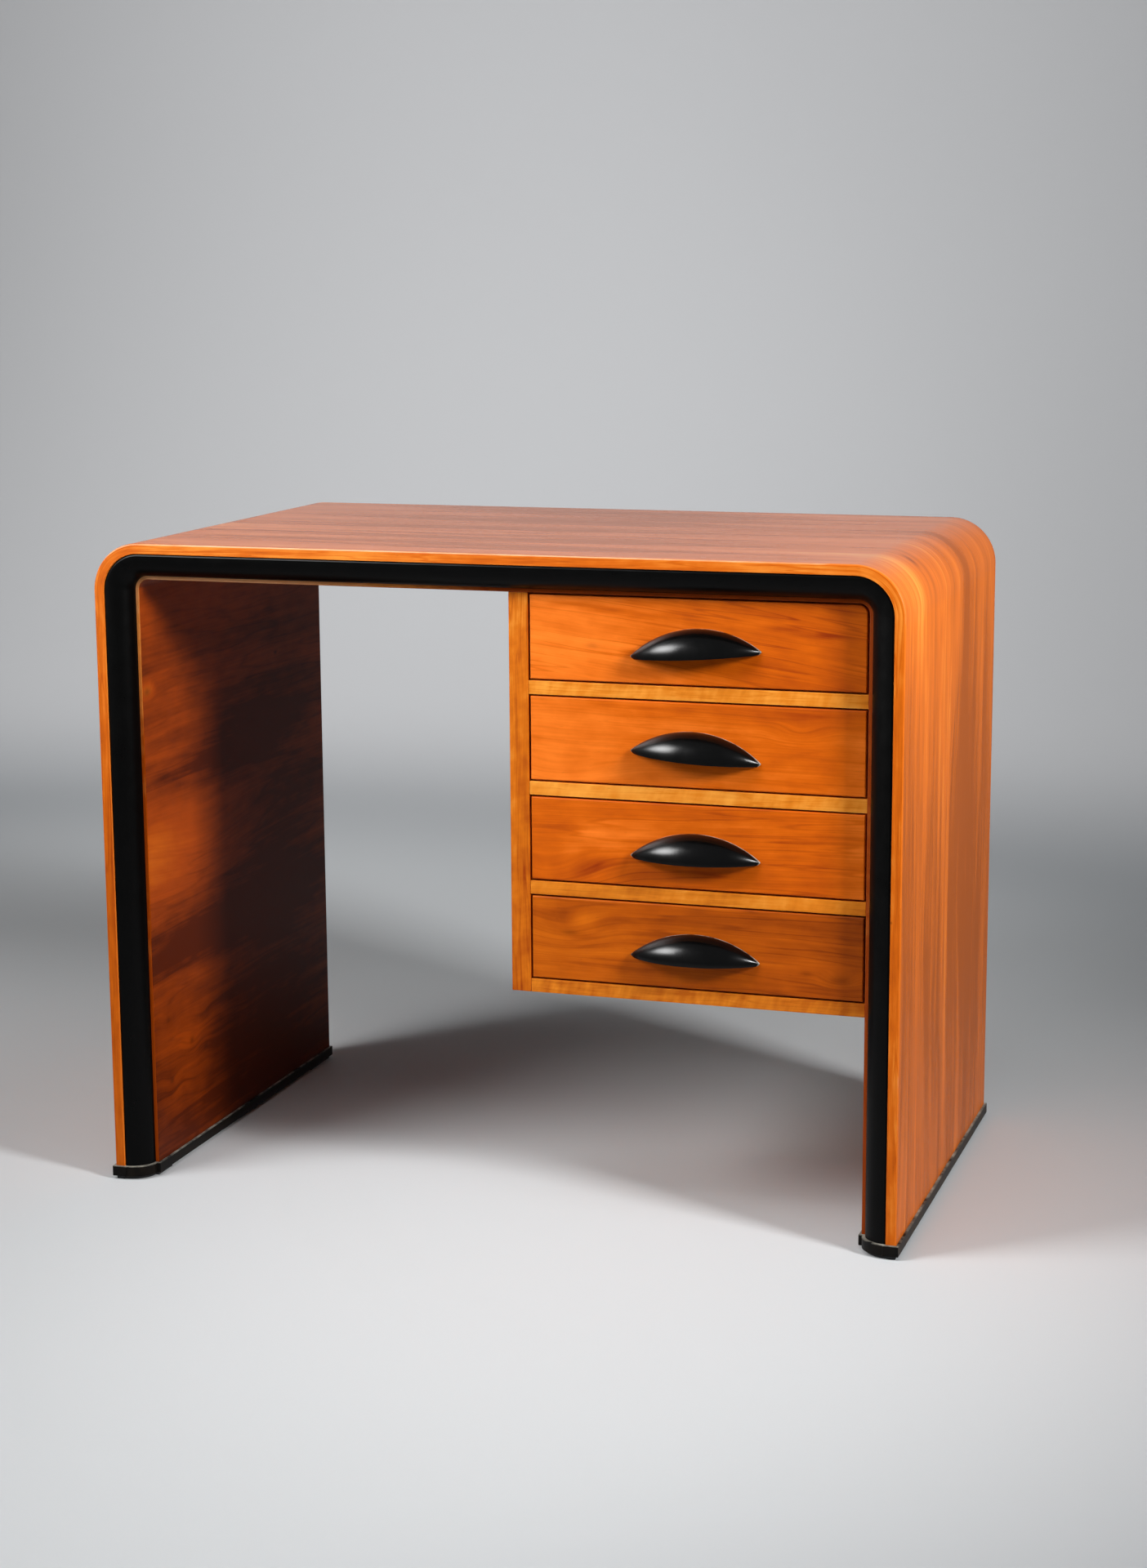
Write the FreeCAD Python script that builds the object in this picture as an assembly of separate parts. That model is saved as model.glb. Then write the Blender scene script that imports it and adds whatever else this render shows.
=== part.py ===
"""A single-pedestal waterfall writing desk: a bent shell, a hanging pedestal and four drawers.

Millimetres. +X is to the right of someone sitting at the desk, +Y points to the back, +Z is up.
The origin is on the floor, under the middle of the shell.
"""

import FreeCAD, Part
import math
import os

V = FreeCAD.Vector

# Overall size of the shell
overall_width = 950.0
overall_depth = 550.0
overall_height = 765.0

# Layers of the shell, from the outside in
skin_thickness = 12.0
core_thickness = 28.0
lining_thickness = 4.5
inner_corner_radius = 11.5
skin_arris = 2.0
lining_setback = 26.5
bead_recess = 1.5
rear_lipping_depth = 6.0

# Feet
plinth_height = 12.5
plinth_overhang = 3.0
glide_height = 4.0
glide_length = 62.0
glide_inset = 4.0
plinth_screws_per_leg = 3
plinth_screw_end_margin = 110.0

# Pedestal
drawer_count = 4
opening_width = 385.5
opening_height = 98.5
side_thickness = 23.0
rail_height = 15.5
rail_depth = 45.0
bottom_board_thickness = 15.5
pedestal_recess = 1.0
pedestal_rear_gap = 13.0
back_panel_thickness = 6.0
back_rebate = 10.0
back_corner_ease = 1.0
cleat_width = 15.0
cleat_depth = 24.0
runner_width = 12.0
stop_length = 24.0
stop_depth = 14.0
stop_height = 7.5
stop_spacing = 200.0

# Drawers
drawer_gap = 2.0
running_clearance = 0.3
front_thickness = 20.0
front_arris = 1.5
box_side_thickness = 12.0
box_back_thickness = 12.0
box_back_housing = 4.0
box_back_inset = 8.0
box_rear_gap = 10.0
box_bottom_thickness = 5.0
box_bottom_lift = 10.0
box_bottom_groove = 5.0
tail_count = 3
tail_length = 12.0
tail_slope = 1.0 / 6.0
pin_width = 9.0

# Pulls: a turned spindle cut into quarters lengthwise, hollowed underneath
pull_width = 148.0
pull_radius = 28.0
pull_tip_radius = 0.8
pull_drop = 3.0
pull_lip = 7.0
pull_back_wall = 2.0
pull_scoop_end = 46.0
pull_tilts = (3.9, -3.3, 0.0, 0.0)

# Fasteners
fastener_clearance = 0.05
dowel_radius = 4.0
dowel_length = 36.0
dowel_panel_depth = 14.0
side_dowel_count = 4
board_dowel_count = 3
dowel_end_margin = 60.0
screw_radius = 2.0
screw_head_radius = 4.0
screw_head_height = 2.4
screw_point_height = 5.0
case_screw_length = 28.0
case_screw_count = 3
case_screw_end_margin = 60.0
runner_screw_count = 2
plinth_screw_length = 40.0
pull_screw_spacing = 50.0
pull_screw_cover = 14.0
pull_screw_wall = 3.5

# Lengths this small count as nothing when faces and edges are compared
tolerance = 1e-6

# Planes worked out from the sizes above
half_width = overall_width / 2
front_y = -overall_depth / 2
rear_y = overall_depth / 2
lining_front_y = front_y + lining_setback
core_inset = skin_thickness
lining_inset = core_inset + core_thickness
inside_inset = lining_inset + lining_thickness
outer_radius = inner_corner_radius + inside_inset
bend_x = half_width - outer_radius
bend_z = overall_height - outer_radius
plinth_top_z = glide_height + plinth_height
underside_z = overall_height - inside_inset

leg_face_x = half_width - inside_inset
side_face_x = leg_face_x - opening_width
side_outer_x = side_face_x - side_thickness
case_front_y = lining_front_y + pedestal_recess
case_rear_y = rear_y - pedestal_rear_gap
back_face_y = case_rear_y - back_panel_thickness
rail_rear_y = case_front_y + rail_depth
cleat_front_y = back_face_y - cleat_depth
cleat_face_x = leg_face_x - cleat_width
opening_pitch = opening_height + rail_height
bottom_board_top_z = underside_z - drawer_count * opening_height - (drawer_count - 1) * rail_height
case_low_z = bottom_board_top_z - bottom_board_thickness

front_rear_y = case_front_y + front_thickness
box_rear_y = cleat_front_y - box_rear_gap
box_left_x = side_face_x + drawer_gap
box_right_x = leg_face_x - drawer_gap
# The drawer sides stop below the height at which the lining starts to bend.
box_side_height = opening_height - running_clearance - inner_corner_radius
pull_scoop_radius = (pull_radius - pull_lip - pull_back_wall) / 2
pull_scoop_length = pull_width - 2 * pull_scoop_end
pull_screw_height = pull_scoop_radius - pull_drop + pull_screw_wall + screw_radius
pull_screw_length = front_thickness + pull_radius - pull_screw_cover


# Shared shapes

def box(x, y, z):
    """A block between the (low, high) pairs of its three axes."""
    size = V(x[1] - x[0], y[1] - y[0], z[1] - z[0])
    return Part.makeBox(size.x, size.y, size.z, V(x[0], y[0], z[0]))


def line(start, end):
    return Part.LineSegment(start, end).toShape()


def quarter_round(start, corner, end):
    """A quarter of an ellipse that leaves start and reaches end along the sides of the given corner."""
    curve = Part.BezierCurve()
    curve.setPoles([start, corner, end])
    curve.setWeight(2, math.sqrt(0.5))
    return curve.toShape()


def face_of(edges):
    return Part.Face(Part.Wire(Part.__sortEdges__(edges)))


def one_solid(shape):
    solids = shape.removeSplitter().Solids
    if len(solids) != 1:
        raise ValueError("expected one solid, found %d" % len(solids))
    return solids[0]


def mirrored(shape):
    return shape.mirror(V(0, 0, 0), V(1, 0, 0))


def spread(low, high, count, margin):
    """Evenly spaced places between two ends, with a margin at each end."""
    if count == 1:
        return [(low + high) / 2]
    step = (high - low - 2 * margin) / (count - 1)
    return [low + margin + index * step for index in range(count)]


def aimed(shape, point, direction):
    """A shape made along +Z, moved to a point and turned to a direction."""
    placed = shape.copy()
    placed.Placement = FreeCAD.Placement(point, FreeCAD.Rotation(V(0, 0, 1), direction))
    return placed


def screw(length, clearance=0.0):
    """A countersunk screw along +Z, the flat of its head at the origin; with a clearance, the hole for it."""
    head = screw_head_radius + clearance
    shank = screw_radius + clearance
    outline = [
        V(0, 0, 0),
        V(head, 0, 0),
        V(shank, 0, screw_head_height),
        V(shank, 0, length - screw_point_height),
        V(0, 0, length + clearance),
    ]
    edges = [line(start, end) for start, end in zip(outline, outline[1:] + outline[:1])]
    return one_solid(face_of(edges).revolve(V(0, 0, 0), V(0, 0, 1), 360))


def dowel(clearance=0.0):
    """A dowel along +Z whose first stretch lies in the panel, below the origin."""
    start = V(0, 0, -dowel_panel_depth - clearance)
    return Part.makeCylinder(dowel_radius + clearance, dowel_length + 2 * clearance, start)


class Fasteners:
    """Places of one kind of fastener, which give both the pieces and the holes that they sit in."""

    def __init__(self, piece, hole):
        self.piece = piece
        self.hole = hole
        self.places = []

    def add(self, point, direction):
        self.places.append((point, direction))

    def pieces(self):
        return [aimed(self.piece, point, direction) for point, direction in self.places]

    def cut_from(self, solid):
        holes = [aimed(self.hole, point, direction) for point, direction in self.places]
        near = [hole for hole in holes if hole.BoundBox.intersect(solid.BoundBox)]
        return one_solid(solid.cut(near)) if near else solid


# Shell

def arch_edges(inset):
    """The arch at a distance inside the outer face: up the left leg, over the top and down the right leg."""
    side = half_width - inset
    top = overall_height - inset
    diagonal = (outer_radius - inset) * math.sqrt(0.5)
    left_bend = Part.Arc(
        V(-side, 0, bend_z), V(-bend_x - diagonal, 0, bend_z + diagonal), V(-bend_x, 0, top)
    ).toShape()
    right_bend = Part.Arc(
        V(bend_x, 0, top), V(bend_x + diagonal, 0, bend_z + diagonal), V(side, 0, bend_z)
    ).toShape()
    return [
        line(V(-side, 0, plinth_top_z), V(-side, 0, bend_z)),
        left_bend,
        line(V(-bend_x, 0, top), V(bend_x, 0, top)),
        right_bend,
        line(V(side, 0, bend_z), V(side, 0, plinth_top_z)),
    ]


def arch_layer(outer_inset, inner_inset, y):
    """A layer of the arch between two insets and two depths."""
    edges = arch_edges(outer_inset) + arch_edges(inner_inset)
    for side in (-1, 1):
        outer_foot = V(side * (half_width - outer_inset), 0, plinth_top_z)
        inner_foot = V(side * (half_width - inner_inset), 0, plinth_top_z)
        edges.append(line(outer_foot, inner_foot))
    layer = face_of(edges).extrude(V(0, y[1] - y[0], 0))
    layer.translate(V(0, y[0], 0))
    return one_solid(layer)


def arch_parts(layer):
    """The layer sawn at the ends of its bends: left leg, left corner, top, right corner, right leg."""
    deep = (front_y, rear_y)
    leg_z = (plinth_top_z, bend_z)
    head_z = (bend_z, overall_height)
    regions = [
        box((-half_width, -bend_x), deep, leg_z),
        box((-half_width, -bend_x), deep, head_z),
        box((-bend_x, bend_x), deep, head_z),
        box((bend_x, half_width), deep, head_z),
        box((bend_x, half_width), deep, leg_z),
    ]
    return [one_solid(layer.common(region)) for region in regions]


def rim_edges(solid, inset, planes):
    """The edges where the arch at an inset meets one of the given depth planes."""
    x = half_width - inset
    top = overall_height - inset
    bend = outer_radius - inset
    found = []
    for edge in solid.Edges:
        bounds = edge.BoundBox
        if bounds.YLength > tolerance or min(abs(bounds.YMin - y) for y in planes) > tolerance:
            continue
        middle = edge.valueAt((edge.FirstParameter + edge.LastParameter) / 2)
        over_bend = math.hypot(abs(middle.x) - bend_x, middle.z - bend_z)
        on_leg = abs(abs(middle.x) - x) < tolerance and middle.z < bend_z
        on_top = abs(middle.z - top) < tolerance
        on_bend = abs(over_bend - bend) < tolerance and abs(middle.x) > bend_x and middle.z > bend_z
        if on_leg or on_top or on_bend:
            found.append(edge)
    return found


def make_skin():
    skin = arch_layer(0.0, core_inset, (front_y, rear_y))
    return skin.makeFillet(skin_arris, rim_edges(skin, 0.0, (front_y, rear_y)))


def make_beads():
    """The quarter-round bead that rolls back from the skin's front edge to the lining's, in five lengths."""
    bead_front_y = front_y + bead_recess
    skin_side = V(-half_width + core_inset, bead_front_y, bend_z)
    heel = V(-half_width + core_inset, lining_front_y, bend_z)
    lining_side = V(-half_width + lining_inset, lining_front_y, bend_z)
    shoulder = V(lining_side.x, skin_side.y, bend_z)
    section = face_of([
        quarter_round(skin_side, shoulder, lining_side),
        line(lining_side, heel),
        line(heel, skin_side),
    ])
    bend_centre = V(-bend_x, 0, bend_z)
    left = section.extrude(V(0, 0, plinth_top_z - bend_z))
    left_corner = section.revolve(bend_centre, V(0, 1, 0), 90)
    top_section = section.copy()
    top_section.rotate(bend_centre, V(0, 1, 0), 90)
    top = top_section.extrude(V(2 * bend_x, 0, 0))
    return [left, left_corner, top, mirrored(left_corner), mirrored(left)]


def foot_outline(grow):
    """The left leg's plan outline, grown outwards: skin edge, bead, lining edge and the straight sides."""
    outer_x = -half_width - grow
    bead_x = -half_width + core_inset + grow
    lining_x = -half_width + lining_inset + grow
    inner_x = -half_width + inside_inset + grow
    skin_y = front_y - grow
    bead_y = front_y + bead_recess - grow
    lining_y = lining_front_y - grow
    back_y = rear_y + grow
    return face_of([
        line(V(outer_x, back_y, 0), V(outer_x, skin_y, 0)),
        line(V(outer_x, skin_y, 0), V(bead_x, skin_y, 0)),
        line(V(bead_x, skin_y, 0), V(bead_x, bead_y, 0)),
        quarter_round(V(bead_x, bead_y, 0), V(lining_x, bead_y, 0), V(lining_x, lining_y, 0)),
        line(V(lining_x, lining_y, 0), V(inner_x, lining_y, 0)),
        line(V(inner_x, lining_y, 0), V(inner_x, back_y, 0)),
        line(V(inner_x, back_y, 0), V(outer_x, back_y, 0)),
    ])


def make_plinth():
    plinth = foot_outline(plinth_overhang).extrude(V(0, 0, plinth_height))
    plinth.translate(V(0, 0, glide_height))
    return plinth


def make_glides():
    """Pads under both ends of both plinths, following the plinth's outline."""
    inset = plinth_overhang - glide_inset
    sole = foot_outline(inset).extrude(V(0, 0, glide_height))
    bounds = sole.BoundBox
    wide = (bounds.XMin, bounds.XMax)
    high = (0.0, glide_height)
    front = sole.common(box(wide, (bounds.YMin, bounds.YMin + glide_length), high))
    rear = sole.common(box(wide, (bounds.YMax - glide_length, bounds.YMax), high))
    left = [one_solid(front), one_solid(rear)]
    return left + [mirrored(pad) for pad in left]


def place_plinth_screws(screws):
    core_x = half_width - core_inset - core_thickness / 2
    for x in (-core_x, core_x):
        for y in spread(front_y, rear_y, plinth_screws_per_leg, plinth_screw_end_margin):
            screws.add(V(x, y, glide_height), V(0, 0, 1))


# Pedestal

def opening_floor_z(index):
    """The height of the rail or board that drawer number index, counted from the top, rides on."""
    return underside_z - opening_height - index * opening_pitch


def make_pedestal_side():
    side = box((side_outer_x, side_face_x), (case_front_y, case_rear_y), (case_low_z, underside_z))
    return one_solid(side.cut(make_back_panel()))


def make_back_panel():
    """The back panel; its upper right corner is rounded a little more than the bend that it sits in."""
    panel = box((side_face_x - back_rebate, leg_face_x), (back_face_y, case_rear_y), (case_low_z, underside_z))
    corner = V(leg_face_x, (back_face_y + case_rear_y) / 2, underside_z)
    edge = min(panel.Edges, key=lambda e: (e.CenterOfMass - corner).Length)
    return panel.makeFillet(inner_corner_radius + back_corner_ease, [edge])


def make_bottom_board():
    return box((side_face_x, leg_face_x), (case_front_y, back_face_y), (case_low_z, bottom_board_top_z))


def make_cleat():
    """The strip on the right leg behind the drawers; it ends where the lining starts to bend."""
    return box((cleat_face_x, leg_face_x), (cleat_front_y, back_face_y), (bottom_board_top_z, bend_z))


def rail_z(index):
    floor = opening_floor_z(index)
    return (floor - rail_height, floor)


def make_rail(index):
    return box((side_face_x, leg_face_x), (case_front_y, rail_rear_y), rail_z(index))


def make_runners(index):
    """The left and right runner behind a rail, with their tops level with it."""
    length = (rail_rear_y, cleat_front_y)
    left = box((side_face_x, side_face_x + runner_width), length, rail_z(index))
    right = box((leg_face_x - runner_width, leg_face_x), length, rail_z(index))
    return left, right


def make_stops():
    """Two blocks behind each drawer front, on the rail or board that the drawer rides on."""
    middle_x = (side_face_x + leg_face_x) / 2
    front = front_rear_y + running_clearance
    stops = []
    for index in range(drawer_count):
        floor = opening_floor_z(index)
        for x in (middle_x - stop_spacing / 2, middle_x + stop_spacing / 2):
            wide = (x - stop_length / 2, x + stop_length / 2)
            stops.append(box(wide, (front, front + stop_depth), (floor, floor + stop_height)))
    return stops


def place_dowels(dowels):
    """Dowels from the side panel up into the top, and from rails and bottom board into both sides."""
    side_x = (side_outer_x + side_face_x) / 2
    for y in spread(case_front_y, case_rear_y, side_dowel_count, dowel_end_margin):
        dowels.add(V(side_x, y, underside_z), V(0, 0, -1))
    ends = [((case_front_y + rail_rear_y) / 2, sum(rail_z(index)) / 2) for index in range(drawer_count - 1)]
    board_z = (case_low_z + bottom_board_top_z) / 2
    ends += [(y, board_z) for y in spread(case_front_y, back_face_y, board_dowel_count, dowel_end_margin)]
    for y, z in ends:
        dowels.add(V(side_face_x, y, z), V(1, 0, 0))
        dowels.add(V(leg_face_x, y, z), V(-1, 0, 0))


def place_case_screws(screws):
    """Screws through the runners and the cleat, and through the back panel into side, board and cleat."""
    for index in range(drawer_count - 1):
        z = sum(rail_z(index)) / 2
        for y in spread(rail_rear_y, cleat_front_y, runner_screw_count, case_screw_end_margin):
            screws.add(V(side_face_x + runner_width, y, z), V(-1, 0, 0))
            screws.add(V(leg_face_x - runner_width, y, z), V(1, 0, 0))
    heights = spread(bottom_board_top_z, underside_z, case_screw_count, case_screw_end_margin)
    for z in heights:
        screws.add(V(side_face_x - back_rebate / 2, case_rear_y, z), V(0, -1, 0))
        screws.add(V(leg_face_x - cleat_width / 2, case_rear_y, z), V(0, -1, 0))
    for lower, upper in zip(heights, heights[1:]):
        screws.add(V(cleat_face_x, (cleat_front_y + back_face_y) / 2, (lower + upper) / 2), V(1, 0, 0))
    board_z = (case_low_z + bottom_board_top_z) / 2
    for x in spread(side_face_x, leg_face_x, case_screw_count, case_screw_end_margin):
        screws.add(V(x, case_rear_y, board_z), V(0, -1, 0))


# Drawers

def front_z(index):
    floor = opening_floor_z(index)
    return (floor + drawer_gap, floor + opening_height - drawer_gap)


def make_front_blank(index):
    """A drawer front with an eased front edge; the top one's corner follows the bend of the lining."""
    blank = box((box_left_x, box_right_x), (case_front_y, front_rear_y), front_z(index))
    if index == 0:
        corner = V(box_right_x, (case_front_y + front_rear_y) / 2, front_z(index)[1])
        edge = min(blank.Edges, key=lambda e: (e.CenterOfMass - corner).Length)
        blank = blank.makeFillet(inner_corner_radius - drawer_gap, [edge])
    rim = [edge for edge in blank.Edges if edge.BoundBox.YMax < case_front_y + tolerance]
    return blank.makeFillet(front_arris, rim)


def make_tails(index):
    """The dovetails that join one drawer side to the front, as wedges that widen towards the front."""
    low = opening_floor_z(index) + running_clearance
    pitch = box_side_height / tail_count
    root = (pitch - pin_width) / 2 - tail_length * tail_slope
    tip = (pitch - pin_width) / 2
    tip_y = front_rear_y - tail_length
    tails = []
    for number in range(tail_count):
        z = low + (number + 0.5) * pitch
        corners = [
            V(0, front_rear_y, z - root),
            V(0, tip_y, z - tip),
            V(0, tip_y, z + tip),
            V(0, front_rear_y, z + root),
        ]
        edges = [line(start, end) for start, end in zip(corners, corners[1:] + corners[:1])]
        tails.append(face_of(edges).extrude(V(box_side_thickness, 0, 0)))
    return tails


def make_pull():
    """A pull about its own tip line: flat back on Y = 0, point to point along X, bulging to -Y."""
    half = pull_width / 2
    edges = [
        Part.Arc(V(-half, 0, pull_tip_radius), V(0, 0, pull_radius), V(half, 0, pull_tip_radius)).toShape(),
        line(V(half, 0, pull_tip_radius), V(half, 0, 0)),
        line(V(half, 0, 0), V(-half, 0, 0)),
        line(V(-half, 0, 0), V(-half, 0, pull_tip_radius)),
    ]
    spindle = one_solid(face_of(edges).revolve(V(0, 0, 0), V(1, 0, 0), 360))
    quarter = spindle.common(box((-half, half), (-pull_radius, 0), (-pull_drop, pull_radius)))
    scoop_y = -pull_back_wall - pull_scoop_radius
    left = V(-pull_scoop_length / 2, scoop_y, -pull_drop)
    right = V(pull_scoop_length / 2, scoop_y, -pull_drop)
    scoop = Part.makeCylinder(pull_scoop_radius, pull_scoop_length, left, V(1, 0, 0))
    scoop = scoop.fuse([Part.makeSphere(pull_scoop_radius, end) for end in (left, right)])
    return one_solid(quarter.cut(scoop.removeSplitter()))


def make_drawer(index):
    """One drawer closed in its opening, as a list of (name, shapes)."""
    low = opening_floor_z(index) + running_clearance
    bottom_z = (low + box_bottom_lift, low + box_bottom_lift + box_bottom_thickness)
    side_z = (low, low + box_side_height)
    left_inner_x = box_left_x + box_side_thickness
    right_inner_x = box_right_x - box_side_thickness
    back_y = (box_rear_y - box_back_inset - box_back_thickness, box_rear_y - box_back_inset)

    bottom_x = (left_inner_x - box_bottom_groove, right_inner_x + box_bottom_groove)
    bottom = box(bottom_x, (front_rear_y - box_bottom_groove, back_y[1]), bottom_z)
    back_x = (left_inner_x - box_back_housing, right_inner_x + box_back_housing)
    back = box(back_x, back_y, (bottom_z[1], side_z[1]))

    left_tails = make_tails(index)
    right_tails = [tail.copy() for tail in left_tails]
    for tail in left_tails:
        tail.translate(V(box_left_x, 0, 0))
    for tail in right_tails:
        tail.translate(V(right_inner_x, 0, 0))
    sides = []
    for x, tails in (((box_left_x, left_inner_x), left_tails), ((right_inner_x, box_right_x), right_tails)):
        board = box(x, (front_rear_y, box_rear_y), side_z)
        sides.append(one_solid(board.fuse(tails).cut([bottom, back])))

    tip_line_z = sum(front_z(index)) / 2 - (pull_radius - pull_drop) / 2
    pull_centre = V((box_left_x + box_right_x) / 2, case_front_y, tip_line_z)
    tilt = FreeCAD.Rotation(V(0, -1, 0), pull_tilts[index % len(pull_tilts)])
    pull_place = FreeCAD.Placement(pull_centre, tilt)
    screws = Fasteners(screw(pull_screw_length), screw(pull_screw_length, fastener_clearance))
    for x in (-pull_screw_spacing / 2, pull_screw_spacing / 2):
        screws.add(pull_place.multVec(V(x, front_thickness, pull_screw_height)), V(0, -1, 0))
    pull = make_pull()
    pull.Placement = pull_place
    front = make_front_blank(index).cut(left_tails + right_tails + [bottom])

    name = "drawer_%d_" % (index + 1)
    return [
        (name + "front", [screws.cut_from(one_solid(front))]),
        (name + "left_side", [sides[0]]),
        (name + "right_side", [sides[1]]),
        (name + "back", [back]),
        (name + "bottom", [bottom]),
        (name + "pull", [screws.cut_from(pull)]),
        (name + "pull_screws", screws.pieces()),
    ]


def make_desk():
    """Every node of the desk, as a list of (name, solids)."""
    dowels = Fasteners(dowel(), dowel(fastener_clearance))
    place_dowels(dowels)
    case_screws = Fasteners(screw(case_screw_length), screw(case_screw_length, fastener_clearance))
    place_case_screws(case_screws)
    plinth_screws = Fasteners(screw(plinth_screw_length), screw(plinth_screw_length, fastener_clearance))
    place_plinth_screws(plinth_screws)

    core = arch_layer(core_inset, lining_inset, (lining_front_y, rear_y - rear_lipping_depth))
    left_core, left_block, top_core, right_block, right_core = arch_parts(core)
    lipping = arch_layer(core_inset, lining_inset, (rear_y - rear_lipping_depth, rear_y))
    lining = arch_layer(lining_inset, inside_inset, (lining_front_y, rear_y))
    left_bead, left_corner_bead, top_bead, right_corner_bead, right_bead = make_beads()
    left_plinth = make_plinth()

    boards = [
        ("inner_lining", lining),
        ("left_leg_core", left_core),
        ("top_core", top_core),
        ("right_leg_core", right_core),
        ("left_plinth", left_plinth),
        ("right_plinth", mirrored(left_plinth)),
        ("pedestal_side", make_pedestal_side()),
        ("pedestal_bottom", make_bottom_board()),
        ("pedestal_back", make_back_panel()),
        ("back_cleat", make_cleat()),
    ]
    for index in range(drawer_count - 1):
        left_runner, right_runner = make_runners(index)
        boards.append(("rail_%d" % (index + 1), make_rail(index)))
        boards.append(("left_runner_%d" % (index + 1), left_runner))
        boards.append(("right_runner_%d" % (index + 1), right_runner))

    nodes = [
        ("outer_shell", [make_skin()]),
        ("corner_blocks", [left_block, right_block]),
        ("left_bead", [left_bead]),
        ("left_corner_bead", [left_corner_bead]),
        ("top_bead", [top_bead]),
        ("right_corner_bead", [right_corner_bead]),
        ("right_bead", [right_bead]),
        ("rear_lipping", arch_parts(lipping)),
        ("glides", make_glides()),
        ("plinth_screws", plinth_screws.pieces()),
        ("drawer_stops", make_stops()),
        ("dowels", dowels.pieces()),
        ("case_screws", case_screws.pieces()),
    ]
    for name, board in boards:
        for fasteners in (dowels, case_screws, plinth_screws):
            board = fasteners.cut_from(board)
        nodes.append((name, [board]))
    for index in range(drawer_count):
        nodes += make_drawer(index)
    return nodes


os.makedirs("parts", exist_ok=True)
for node_name, solids in make_desk():
    shape = solids[0] if len(solids) == 1 else Part.makeCompound(solids)
    shape.exportStep("parts/%s.step" % node_name)
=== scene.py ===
"""Finishes and studio for a single-pedestal waterfall writing desk, laid out as a Blender add-on.

Metres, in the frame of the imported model: +X to the sitter's right, +Y to the back, +Z up, floor at Z = 0.
"""

import math
from functools import partial
from typing import NamedTuple

import bmesh
import bpy
from bpy.props import FloatProperty, FloatVectorProperty, PointerProperty
from mathutils import Matrix, Vector


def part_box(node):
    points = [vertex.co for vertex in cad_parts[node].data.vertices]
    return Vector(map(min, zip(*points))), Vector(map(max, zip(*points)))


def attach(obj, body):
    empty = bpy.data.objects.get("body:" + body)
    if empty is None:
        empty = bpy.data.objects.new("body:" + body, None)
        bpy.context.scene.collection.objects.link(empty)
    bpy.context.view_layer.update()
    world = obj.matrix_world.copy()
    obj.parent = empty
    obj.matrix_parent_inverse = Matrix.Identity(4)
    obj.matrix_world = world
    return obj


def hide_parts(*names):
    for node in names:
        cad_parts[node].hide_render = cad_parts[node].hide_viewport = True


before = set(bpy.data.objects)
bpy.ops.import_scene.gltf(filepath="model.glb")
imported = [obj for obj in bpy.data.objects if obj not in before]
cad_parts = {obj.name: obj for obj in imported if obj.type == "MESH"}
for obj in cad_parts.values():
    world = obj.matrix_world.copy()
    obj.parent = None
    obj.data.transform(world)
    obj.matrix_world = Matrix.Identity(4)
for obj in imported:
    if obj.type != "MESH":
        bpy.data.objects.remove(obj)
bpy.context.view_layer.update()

bl_info = {
    "name": "Waterfall Desk Finishes",
    "version": (1, 0, 0),
    "blender": (4, 5, 0),
    "location": "View3D > Sidebar > Desk",
    "description": "Veneers, black trim, hardware and a grey studio for a waterfall writing desk",
    "category": "Object",
}

DRAWERS = (1, 2, 3, 4)
RAILS = (1, 2, 3)
GRAIN = "grain"
SMOOTH = {"interpolation_type": "SMOOTHSTEP"}

# Steps in each bend of the arch, in each quarter round and in the paper's sweep
BEND_STEPS = 24
ROUND_STEPS = 16
SWEEP_STEPS = 32

# How squarely a face has to look one way to count as an edge, an arris or a ledge
SQUARE_ON = 0.9
ARRIS_FACING = 0.3
LEDGE_FACING = 0.95

# Edges that turn by more than this stay sharp in the shading
SHARP_ANGLE = math.radians(38)

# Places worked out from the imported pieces
shell_low, shell_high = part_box("outer_shell")
bead_low, bead_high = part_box("left_bead")
lining_low, lining_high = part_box("inner_lining")
plinth_low, plinth_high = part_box("left_plinth")
half_width = shell_high.x
foot_z = shell_low.z
top_z = shell_high.z
bend_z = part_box("corner_blocks")[0].z
outer_radius = top_z - bend_z
bend_x = half_width - outer_radius
quarter_turn = outer_radius * math.pi / 2
core_inset = half_width + bead_low.x
lining_inset = half_width + bead_high.x
inside_inset = top_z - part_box("pedestal_side")[1].z
plinth_overhang = shell_low.x - plinth_low.x


def linear(hex_code):
    """An sRGB hex value as a linear colour with full alpha."""
    parts = [int(hex_code[start:start + 2], 16) / 255 for start in (0, 2, 4)]
    return tuple(c / 12.92 if c <= 0.04045 else ((c + 0.055) / 1.055) ** 2.4 for c in parts) + (1.0,)


def colour(label, note, hex_code):
    return FloatVectorProperty(
        name=label, description=note, subtype="COLOR", size=4, min=0.0, max=1.0, default=linear(hex_code)
    )


def length(label, note, metres):
    return FloatProperty(name=label, description=note, default=metres, min=0.0, unit="LENGTH")


def power(label, note, watts):
    return FloatProperty(name=label, description=note, default=watts, min=0.0, unit="POWER")


# Settings that a user would change

class DeskSizes(bpy.types.PropertyGroup):
    """Small roundings that the finished pieces have."""

    skin_arris: length("Skin arris", "Rounding along the shell's outer edges", 0.002)
    skin_inner_arris: length("Skin inner arris", "Easing of the skin's edge beside the bead", 0.0006)
    lining_arris: length("Lining arris", "Easing of the lining's front edge", 0.0009)
    bead_shoulder: length("Bead shoulder", "Rounding of the bead beside the skin", 0.0025)
    plinth_arris: length("Plinth arris", "Easing of the plinth's edges", 0.0011)
    board_arris: length("Board arris", "Easing of the rails, bottom board and side panel", 0.0009)
    front_arris: length("Front arris", "Easing of the drawer fronts", 0.0012)


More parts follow.
